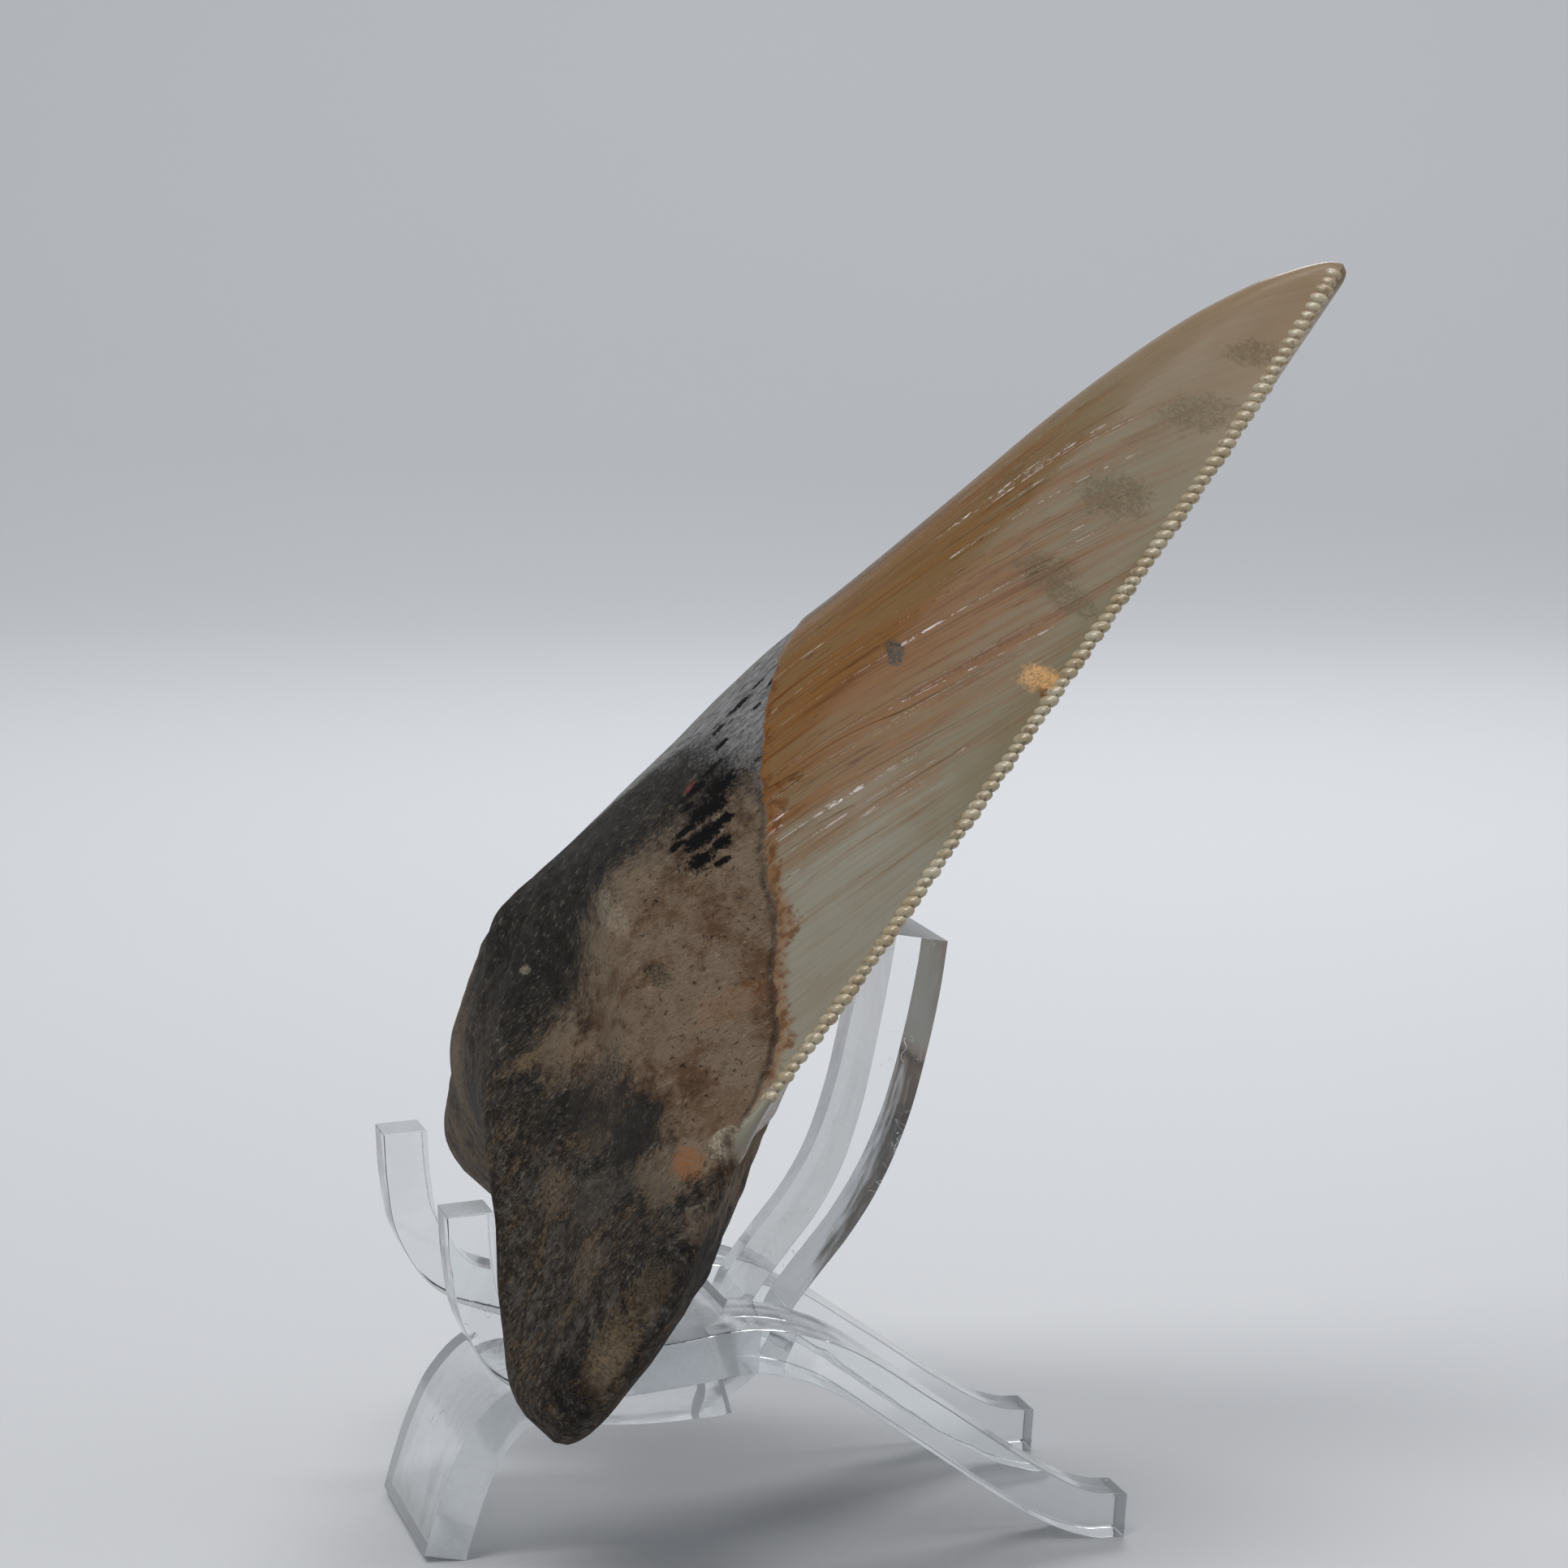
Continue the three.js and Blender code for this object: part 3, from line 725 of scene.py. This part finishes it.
def makeFossil():
    s = FossilSurface()
    enamel, enamelRelief, glint = s.enamelColour()
    root, bareRelief = s.rootColour()
    bareColour = s.layered(root, [s.band()])
    flakes = [(s.spot(*flake, ruffles["flake"]), "fleckBlack") for flake in blackFlakes]
    bareColour = s.layered(bareColour, flakes)
    relief = bareRelief * s.bare + enamelRelief * (1 - s.bare)
    layout = fossilLayout
    enamelRough = layout["enamelRoughness"] + s.mottle * 0.3 + glint * 0.1
    rootRough = layout["rootRoughness"] + s.stroke * 0.5
    return s.finish({
        "Base Color": s.blend(s.bare, enamel, bareColour),
        "Roughness": enamelRough * (1 - s.bare) + rootRough * s.bare,
        "Normal": s.bump(relief, layout["bumpStrength"], layout["bumpHeight"] * mm),
        "Specular IOR Level": layout["mirror"],
        "Coat Weight": (1 - s.bare) * layout["coat"],
        "Coat Roughness": layout["coatRoughness"],
    })


def makeTooth(material):
    vertices, faces, side = makeToothMesh()
    piece = meshObject("tooth_body", placeTooth(vertices), faces, material)
    mesh = piece.data
    place = mesh.attributes.new("toothPlace", "FLOAT_VECTOR", "POINT")
    place.data.foreach_set("vector", vertices.astype(np.float32).ravel())
    share = np.abs(vertices[:, 0]) / np.maximum(halfWidthAt(vertices[:, 1]), 0.3)
    for name, values in (("share", np.clip(share, 0, 1)), ("lingualSide", side)):
        mesh.attributes.new(name, "FLOAT", "POINT").data.foreach_set("value", values.astype(np.float32))
    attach(piece, "root")
    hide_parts("tooth")
    return piece


# Stand: each piece is a bent strip, a smooth centre line with half its thickness to both sides
cradle = {
    "line": [(-27.7, 34.2), (-27.4, 29.5), (-26.5, 24.8), (-23.4, 20.3), (-17.5, 18.5), (-9, 18.9),
             (-1, 19.75), (6, 17.8), (14.5, 12.3), (23, 6.3), (28, 3.3), (31.4, 2.15), (34, 1.95)],
    "half": 2.1,
    "outer": [(-31, 21.3), (-26, 21.1), (-18, 19.8), (-8, 19.3), (-1.7, 19.3), (12, 18.7), (33.8, 18.4)],
    "frontNotch": [(-33, 15.8), (-22, 15.4), (-17.5, 14.6), (-16.1, 13.6), (-15.5, 11.8)],
    "rearNotch": [(-1.7, 7.3), (6.5, 7.3), (12, 8.7), (20, 10.9), (27, 12.2), (36.8, 12.8)],
    "bridge": (-15.5, -1.7),
    "bridgeFrost": 0.9,
    "sideFrost": 0.12,
    "frostStart": -13.0,
    "frostEnd": -1.0,
    "steps": 190,
}
arm = {
    "line": [(-28.8, 0.15, 1.95), (-27.9, 3.3, 1.95), (-26.4, 7.6, 1.95), (-24.5, 11.2, 1.95),
             (-21.6, 13.9, 1.9), (-17.5, 14.1, 1.9), (-12, 13.7, 1.9), (-6, 13.8, 1.9), (-1.8, 14.4, 1.9),
             (1.1, 17.1, 1.9), (2.9, 20.8, 1.9), (5.6, 24.4, 1.9), (8.8, 28.4, 1.95), (11.4, 32.7, 2.1),
             (13.7, 38.5, 2.35), (15.3, 44.6, 2.5), (16.5, 50.2, 2.55), (17.3, 55, 2.5)],
    "armHalf": 7.0,
    "legHalf": 12.0,
    "shoulderX": -2.6,
    "legTop": -17,
    "legFrost": 0.55,
    "sideFrost": 0.06,
    "steps": 200,
}


def smoothLine(points, steps):
    # centripetal curve through the points, as even steps
    p = np.array(points, float)
    p = np.vstack([2 * p[0] - p[1], p, 2 * p[-1] - p[-2]])
    out = []
    spans = len(p) - 3
    for k in np.linspace(0, spans, steps + 1):
        i = min(int(k), spans - 1)
        u = k - i
        a, b, c, d = p[i:i + 4]
        knots = [0.0]
        for first, second in ((a, b), (b, c), (c, d)):
            knots.append(knots[-1] + max(np.linalg.norm(second - first), 1e-6) ** 0.5)
        t0, t1, t2, t3 = knots
        t = t1 + u * (t2 - t1)
        a1 = (t1 - t) / (t1 - t0) * a + (t - t0) / (t1 - t0) * b
        a2 = (t2 - t) / (t2 - t1) * b + (t - t1) / (t2 - t1) * c
        a3 = (t3 - t) / (t3 - t2) * c + (t - t2) / (t3 - t2) * d
        b1 = (t2 - t) / (t2 - t0) * a1 + (t - t0) / (t2 - t0) * a2
        b2 = (t3 - t) / (t3 - t1) * a2 + (t - t1) / (t3 - t1) * a3
        out.append((t2 - t) / (t2 - t1) * b1 + (t - t1) / (t2 - t1) * b2)
    return np.array(out)


def stripMesh(line, halves, columnsAt, cellPresent, sideFrost):
    # a strip with open notches: columnsAt gives the y of each column at a step,
    # cellPresent which cells are filled, sideFrost how matt the long sides are at an x
    along = np.gradient(line, axis=0)
    along /= np.linalg.norm(along, axis=1)[:, None]
    normal = np.stack([-along[:, 1], along[:, 0]], -1)
    vertices = []
    lookup = {}

    def corner(step, column, level):
        key = (step, column, level)
        if key not in lookup:
            side = line[step] + normal[step] * halves[step] * level
            lookup[key] = len(vertices)
            vertices.append((side[0], columnsAt(step)[column], max(side[1], 0.0)))
        return lookup[key]

    faces = []
    frosted = []

    def face(frost, *corners):
        faces.append([corner(*place) for place in corners])
        frosted.append(frost)

    steps = len(line) - 1
    cells = len(columnsAt(0)) - 1
    filled = {(i, c) for i in range(steps) for c in range(cells) if cellPresent(i, c)}
    for i, c in filled:
        j, d = i + 1, c + 1
        side = sideFrost(line[i][0])
        face(0.0, (i, c, 1), (j, c, 1), (j, d, 1), (i, d, 1))
        face(0.0, (i, c, -1), (i, d, -1), (j, d, -1), (j, c, -1))
        if (i, c - 1) not in filled:
            face(side if c == 0 else 0.0, (i, c, -1), (j, c, -1), (j, c, 1), (i, c, 1))
        if (i, d) not in filled:
            face(side if d == cells else 0.0, (i, d, -1), (i, d, 1), (j, d, 1), (j, d, -1))
        if (i - 1, c) not in filled:
            face(1.0, (i, c, -1), (i, c, 1), (i, d, 1), (i, d, -1))
        if (j, c) not in filled:
            face(1.0, (j, c, -1), (j, d, -1), (j, d, 1), (j, c, 1))
    return vertices, faces, frosted


# The strips' rounded edges
standEdge = {
    "width": 0.35,
    "segments": 3,
    "sharpFrom": math.radians(35),
}


def finishStand(name, vertices, faces, frosted, material, node):
    placed = (np.array(vertices) + np.array(standMiddle)) * mm
    piece = meshObject(name, placed, faces, material, smooth=False)
    frost = piece.data.attributes.new("frosted", "FLOAT", "FACE")
    frost.data.foreach_set("value", np.array(frosted, np.float32))
    bevel = piece.modifiers.new("edge", "BEVEL")
    bevel.width = standEdge["width"] * mm
    bevel.segments = standEdge["segments"]
    bevel.limit_method = "ANGLE"
    bevel.angle_limit = standEdge["sharpFrom"]
    bevel.harden_normals = True
    piece.data.shade_smooth()
    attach(piece, "root")
    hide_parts(node)
    return piece


def readStraight(points, x):
    return float(np.interp(x, [p[0] for p in points], [p[1] for p in points]))


def makeCradle(material):
    line = smoothLine(cradle["line"], cradle["steps"])
    front, rear = cradle["bridge"]

    def columnsAt(i):
        x = line[i][0]
        outer = readStraight(cradle["outer"], x)
        inner = readStraight(cradle["frontNotch"] if x < (front + rear) / 2 else cradle["rearNotch"], x)
        return [-outer, -inner, inner, outer]

    def cellPresent(i, c):
        x = (line[i][0] + line[i + 1][0]) / 2
        return c != 1 or front < x < rear

    def sideFrost(x):
        onBridge = cradle["frostStart"] < x < cradle["frostEnd"]
        return cradle["bridgeFrost"] if onBridge else cradle["sideFrost"]

    halves = np.full(len(line), cradle["half"])
    vertices, faces, frosted = stripMesh(line, halves, columnsAt, cellPresent, sideFrost)
    return finishStand("cradle_moulded", vertices, faces, frosted, material, "stand_cradle")


def makeArm(material):
    line = smoothLine(arm["line"], arm["steps"])

    def columnsAt(i):
        return [-arm["legHalf"], -arm["armHalf"], arm["armHalf"], arm["legHalf"]]

    def cellPresent(i, c):
        return c == 1 or (line[i][0] + line[i + 1][0]) / 2 < arm["shoulderX"]

    def sideFrost(x):
        return arm["legFrost"] if x < arm["legTop"] else arm["sideFrost"]

    vertices, faces, frosted = stripMesh(line[:, :2], line[:, 2], columnsAt, cellPresent, sideFrost)
    return finishStand("arm_moulded", vertices, faces, frosted, material, "stand_arm")


plastic = {
    "clearColour": (0.97, 0.985, 0.99, 1),
    "mattColour": (0.8, 0.84, 0.87, 1),
    "clearBend": 1.53,
    "mattBend": 1.5,
    "mattRoughness": 0.38,
    "mattShare": 0.95,
    "mattSeen": 0.55,
    "waves": 1.2,
    "scuffs": 0.05,
    "hairs": 0.4,
}


def makeClearPlastic():
    s = Shader("clear_moulded")
    place = s.objectPlace(1000.0)
    px, py, pz = s.parts(place)
    waves = s.grain(place, 0.12, 2.0)
    scuff = s.grain(s.join(px * 0.4, py * 3.0, pz * 0.4), 1.1, 4.0, 0.7) - 0.5
    hairField = s.grain(place, 0.35, 2.0, 0.5, 1.2) - 0.5
    hairBreak = s.grain(place, 0.22, 3.0, 0.6) - 0.5
    hair = abs(hairField).ramp(0.0, 0.004, 1.0, 0.0) * hairBreak.ramp(0.08, 0.12)
    speck = s.grain(place, 1.4, 5.0, 0.8) - 0.5
    frost = s.attribute("frosted") * (plastic["mattShare"] + speck * 0.5)
    fineGrain = s.grain(place, 5.0, 3.0)
    relief = waves * plastic["waves"] + scuff * plastic["scuffs"] - hair * plastic["hairs"]
    clear = {
        "Base Color": plastic["clearColour"],
        "Roughness": scuff.ramp(0.14, 0.24, 0.015, 0.1) + hair * 0.3,
        "IOR": plastic["clearBend"],
        "Transmission Weight": 1.0,
        "Normal": s.bump(relief, 0.25, 0.2 * mm),
    }
    matt = {
        "Base Color": plastic["mattColour"],
        "Roughness": plastic["mattRoughness"],
        "IOR": plastic["mattBend"],
        "Transmission Weight": plastic["mattSeen"],
        "Normal": s.bump(fineGrain, 0.08, 0.05 * mm),
    }
    return s.finish(clear, matt, frost)


# Serrations: beads set along both cutting edges by a node tree
serration = {
    "pitch": 1.06,
    "along": 0.56,
    "outward": 0.92,
    "thick": 0.5,
    "sunk": 0.64,
    "deep": 0.18,
    "start": 1.2,
    "end": 86.6,
    "pathSteps": 240,
    "inner": 0.955,              # share of the half width that gives the outward direction
    "least": 0.86,
    "most": 1.12,
    "subdivisions": 2,
    "seed": 4,
}


class NodeTree:
    def __init__(self, name):
        self.tree = bpy.data.node_groups.new(name, "GeometryNodeTree")
        self.tree.interface.new_socket("Geometry", in_out="INPUT", socket_type="NodeSocketGeometry")
        self.tree.interface.new_socket("Geometry", in_out="OUTPUT", socket_type="NodeSocketGeometry")
        self.entry = self.tree.nodes.new("NodeGroupInput")

    def size(self, name, kind, value):
        made = self.tree.interface.new_socket(name, in_out="INPUT", socket_type=kind)
        made.default_value = value
        return made.identifier

    def node(self, kind, settings=None, values=None):
        made = self.tree.nodes.new(kind)
        for key, value in (settings or {}).items():
            setattr(made, key, value)
        for key, value in (values or {}).items():
            if isinstance(value, bpy.types.NodeSocket):
                self.tree.links.new(value, made.inputs[key])
            else:
                made.inputs[key].default_value = value
        return made

    def end(self, socket):
        out = self.tree.nodes.new("NodeGroupOutput")
        self.tree.links.new(socket, out.inputs[0])


def beadTree(material):
    g = NodeTree("edge_beads")
    ids = {
        "Pitch": g.size("Pitch", "NodeSocketFloat", serration["pitch"] * mm),
        "Along": g.size("Along", "NodeSocketFloat", serration["along"] * mm),
        "Outward": g.size("Outward", "NodeSocketFloat", serration["outward"] * mm),
        "Thick": g.size("Thick", "NodeSocketFloat", serration["thick"] * mm),
        "Seed": g.size("Seed", "NodeSocketInt", serration["seed"]),
    }
    entry = g.entry.outputs
    curve = g.node("GeometryNodeMeshToCurve", None, {0: entry["Geometry"]})
    even = g.node("GeometryNodeResampleCurve", {"mode": "LENGTH"},
                  {"Curve": curve.outputs[0], "Length": entry["Pitch"]})
    ball = g.node("GeometryNodeMeshIcoSphere", None,
                  {"Radius": 1.0, "Subdivisions": serration["subdivisions"]})
    smoothBall = g.node("GeometryNodeSetShadeSmooth", None, {0: ball.outputs[0]})
    outward = g.node("GeometryNodeInputNamedAttribute", {"data_type": "FLOAT_VECTOR"}, {"Name": "outward"})
    tangent = g.node("GeometryNodeInputTangent")
    first = g.node("FunctionNodeAlignRotationToVector", {"axis": "X"}, {"Vector": outward.outputs[0]})
    second = g.node("FunctionNodeAlignRotationToVector", {"axis": "Y", "pivot_axis": "X"},
                    {"Rotation": first.outputs[0], "Vector": tangent.outputs[0]})
    size = g.node("ShaderNodeCombineXYZ", None, {0: entry["Outward"], 1: entry["Along"], 2: entry["Thick"]})
    vary = g.node("FunctionNodeRandomValue", {"data_type": "FLOAT"},
                  {2: serration["least"], 3: serration["most"], "Seed": entry["Seed"]})
    sized = g.node("ShaderNodeVectorMath", {"operation": "SCALE"},
                   {0: size.outputs[0], "Scale": vary.outputs[1]})
    placed = g.node("GeometryNodeInstanceOnPoints", None, {
        "Points": even.outputs[0], "Instance": smoothBall.outputs[0],
        "Rotation": second.outputs[0], "Scale": sized.outputs[0],
    })
    real = g.node("GeometryNodeRealizeInstances", None, {0: placed.outputs[0]})
    dressed = g.node("GeometryNodeSetMaterial", None, {"Geometry": real.outputs[0], "Material": material})
    g.end(dressed.outputs[0])
    return g.tree, ids


def makeSerrations(material):
    depth = np.linspace(serration["start"], serration["end"], serration["pathSteps"])
    rows = []
    outwardRows = []
    edges = []
    for side in (-1.0, 1.0):
        down = depth / tooth["sideDepth"]
        points, _, _ = toothPoints(np.full(len(down), side), down, True)
        inner, _, _ = toothPoints(np.full(len(down), side * serration["inner"]), down, True)
        outward = (points - inner) / np.linalg.norm(points - inner, axis=1)[:, None]
        points -= outward * serration["sunk"] + np.array([side, 0, 1]) * serration["deep"]
        placed = placeTooth(points)
        outwardRows.append((placeTooth(points + outward) - placed) / mm)
        base = sum(len(r) for r in rows)
        edges += [(base + i, base + i + 1) for i in range(len(depth) - 1)]
        rows.append(placed)
    mesh = bpy.data.meshes.new("edge_path")
    mesh.from_pydata([tuple(v) for v in np.concatenate(rows)], edges, [])
    mesh.attributes.new("outward", "FLOAT_VECTOR", "POINT").data.foreach_set(
        "vector", np.concatenate(outwardRows).astype(np.float32).ravel())
    path = bpy.data.objects.new("edge_path", mesh)
    bpy.context.scene.collection.objects.link(path)
    tree, ids = beadTree(material)
    modifier = path.modifiers.new("beads", "NODES")
    modifier.node_group = tree
    modifier[ids["Seed"]] = serration["seed"]
    bpy.context.view_layer.update()
    result = bpy.data.meshes.new_from_object(path.evaluated_get(bpy.context.evaluated_depsgraph_get()))
    bpy.data.objects.remove(path)
    piece = bpy.data.objects.new("tooth_serrations", result)
    bpy.context.scene.collection.objects.link(piece)
    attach(piece, "root")
    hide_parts("tooth")
    return piece


beadEnamel = {
    "shade": paint(168, 150, 118),
    "light": paint(190, 180, 156),
    "stain": paint(120, 90, 54),
    "stainShare": 0.6,
    "coat": 0.6,
    "coatRoughness": 0.12,
}


def makeBeadEnamel():
    s = Shader("serration_enamel")
    place = s.objectPlace(1000.0)
    tone = s.grain(place, 0.35, 3.0)
    spot = s.grain(place, 1.6, 3.0)
    colour = s.blend(tone.ramp(0.35, 0.7), beadEnamel["shade"], beadEnamel["light"])
    stain = (spot - 0.52).ramp(0.0, 0.15) * beadEnamel["stainShare"]
    colour = s.blend(stain, colour, beadEnamel["stain"])
    return s.finish({
        "Base Color": colour,
        "Roughness": spot.ramp(0.3, 0.7, 0.22, 0.4),
        "Normal": s.bump(spot, 0.3, 0.1 * mm),
        "Coat Weight": beadEnamel["coat"],
        "Coat Roughness": beadEnamel["coatRoughness"],
    })


# The studio, in metres: a floor that bends up into a wall, and the lamps around it
studio = {
    "paperShade": (0.55, 0.56, 0.58, 1),
    "paperLight": (0.58, 0.59, 0.61, 1),
    "floorHalf": 2.4,
    "wallStart": 0.8,
    "wallBend": 0.7,
    "wallTop": 2.6,
    "widen": 1.6,
    "gap": 0.00002,
    "skyColour": (0.9, 0.94, 1.0, 1),
    "skyStrength": 0.36,
}
tableMiddle = (0, 0, 0.06)
# name, place, target, size, power, colour, whether it shows in gloss
lamps = [
    ("key", (-0.35, -0.25, 0.8), tableMiddle, 0.45, 3.0, (1.0, 0.985, 0.96), True),
    ("fill", (0.75, -0.55, 0.3), tableMiddle, 0.5, 1.0, (0.95, 0.97, 1.0), False),
    ("back", (0.25, 0.6, 0.5), tableMiddle, 0.3, 1.5, (1.0, 1.0, 1.0), True),
    ("wall", (0.1, 0.2, 1.3), (0.35, 1.4, 0.5), 0.8, 10.0, (1.0, 1.0, 1.0), True),
]


def makeStudio():
    s = Shader("studio_paper")
    tone = s.grain(s.objectPlace(1.0), 3.0, 2.0)
    paper = s.finish({
        "Base Color": s.blend(tone, studio["paperShade"], studio["paperLight"]),
        "Roughness": 0.65,
        "Specular IOR Level": 0.3,
    })
    floorHalf, wallStart, bend = studio["floorHalf"], studio["wallStart"], studio["wallBend"]
    profile = [(-floorHalf, 0.0), (wallStart, 0.0)]
    profile += [(wallStart + bend * math.sin(angle), bend * (1 - math.cos(angle)))
                for angle in np.linspace(0.1, math.pi / 2, 16)]
    profile.append((wallStart + bend, studio["wallTop"]))
    turn = cameraSetup["turn"]
    vertices = []
    for forward, z in profile:
        for side in (-floorHalf * studio["widen"], floorHalf * studio["widen"]):
            vertices.append((forward * math.sin(turn) + side * math.cos(turn),
                             forward * math.cos(turn) - side * math.sin(turn), z - studio["gap"]))
    faces = [(2 * i, 2 * i + 1, 2 * i + 3, 2 * i + 2) for i in range(len(profile) - 1)]
    floor = meshObject("studio_sweep", vertices, faces, paper)
    world = bpy.data.worlds.new("studio")
    world.use_nodes = True
    sky = world.node_tree.nodes["Background"]
    sky.inputs[0].default_value = studio["skyColour"]
    sky.inputs[1].default_value = studio["skyStrength"]
    bpy.context.scene.world = world
    for lamp in lamps:
        makeArea(*lamp)


bpy.context.scene.view_settings.view_transform = "Standard"
makeCamera(cameraSetup)
makeStudio()
print("camera, floor and light are in place")
makeTooth(makeFossil())
print("the tooth is made")
makeSerrations(makeBeadEnamel())
print("the serrations are made")
clearPlastic = makeClearPlastic()
makeCradle(clearPlastic)
makeArm(clearPlastic)
print("the stand is made")
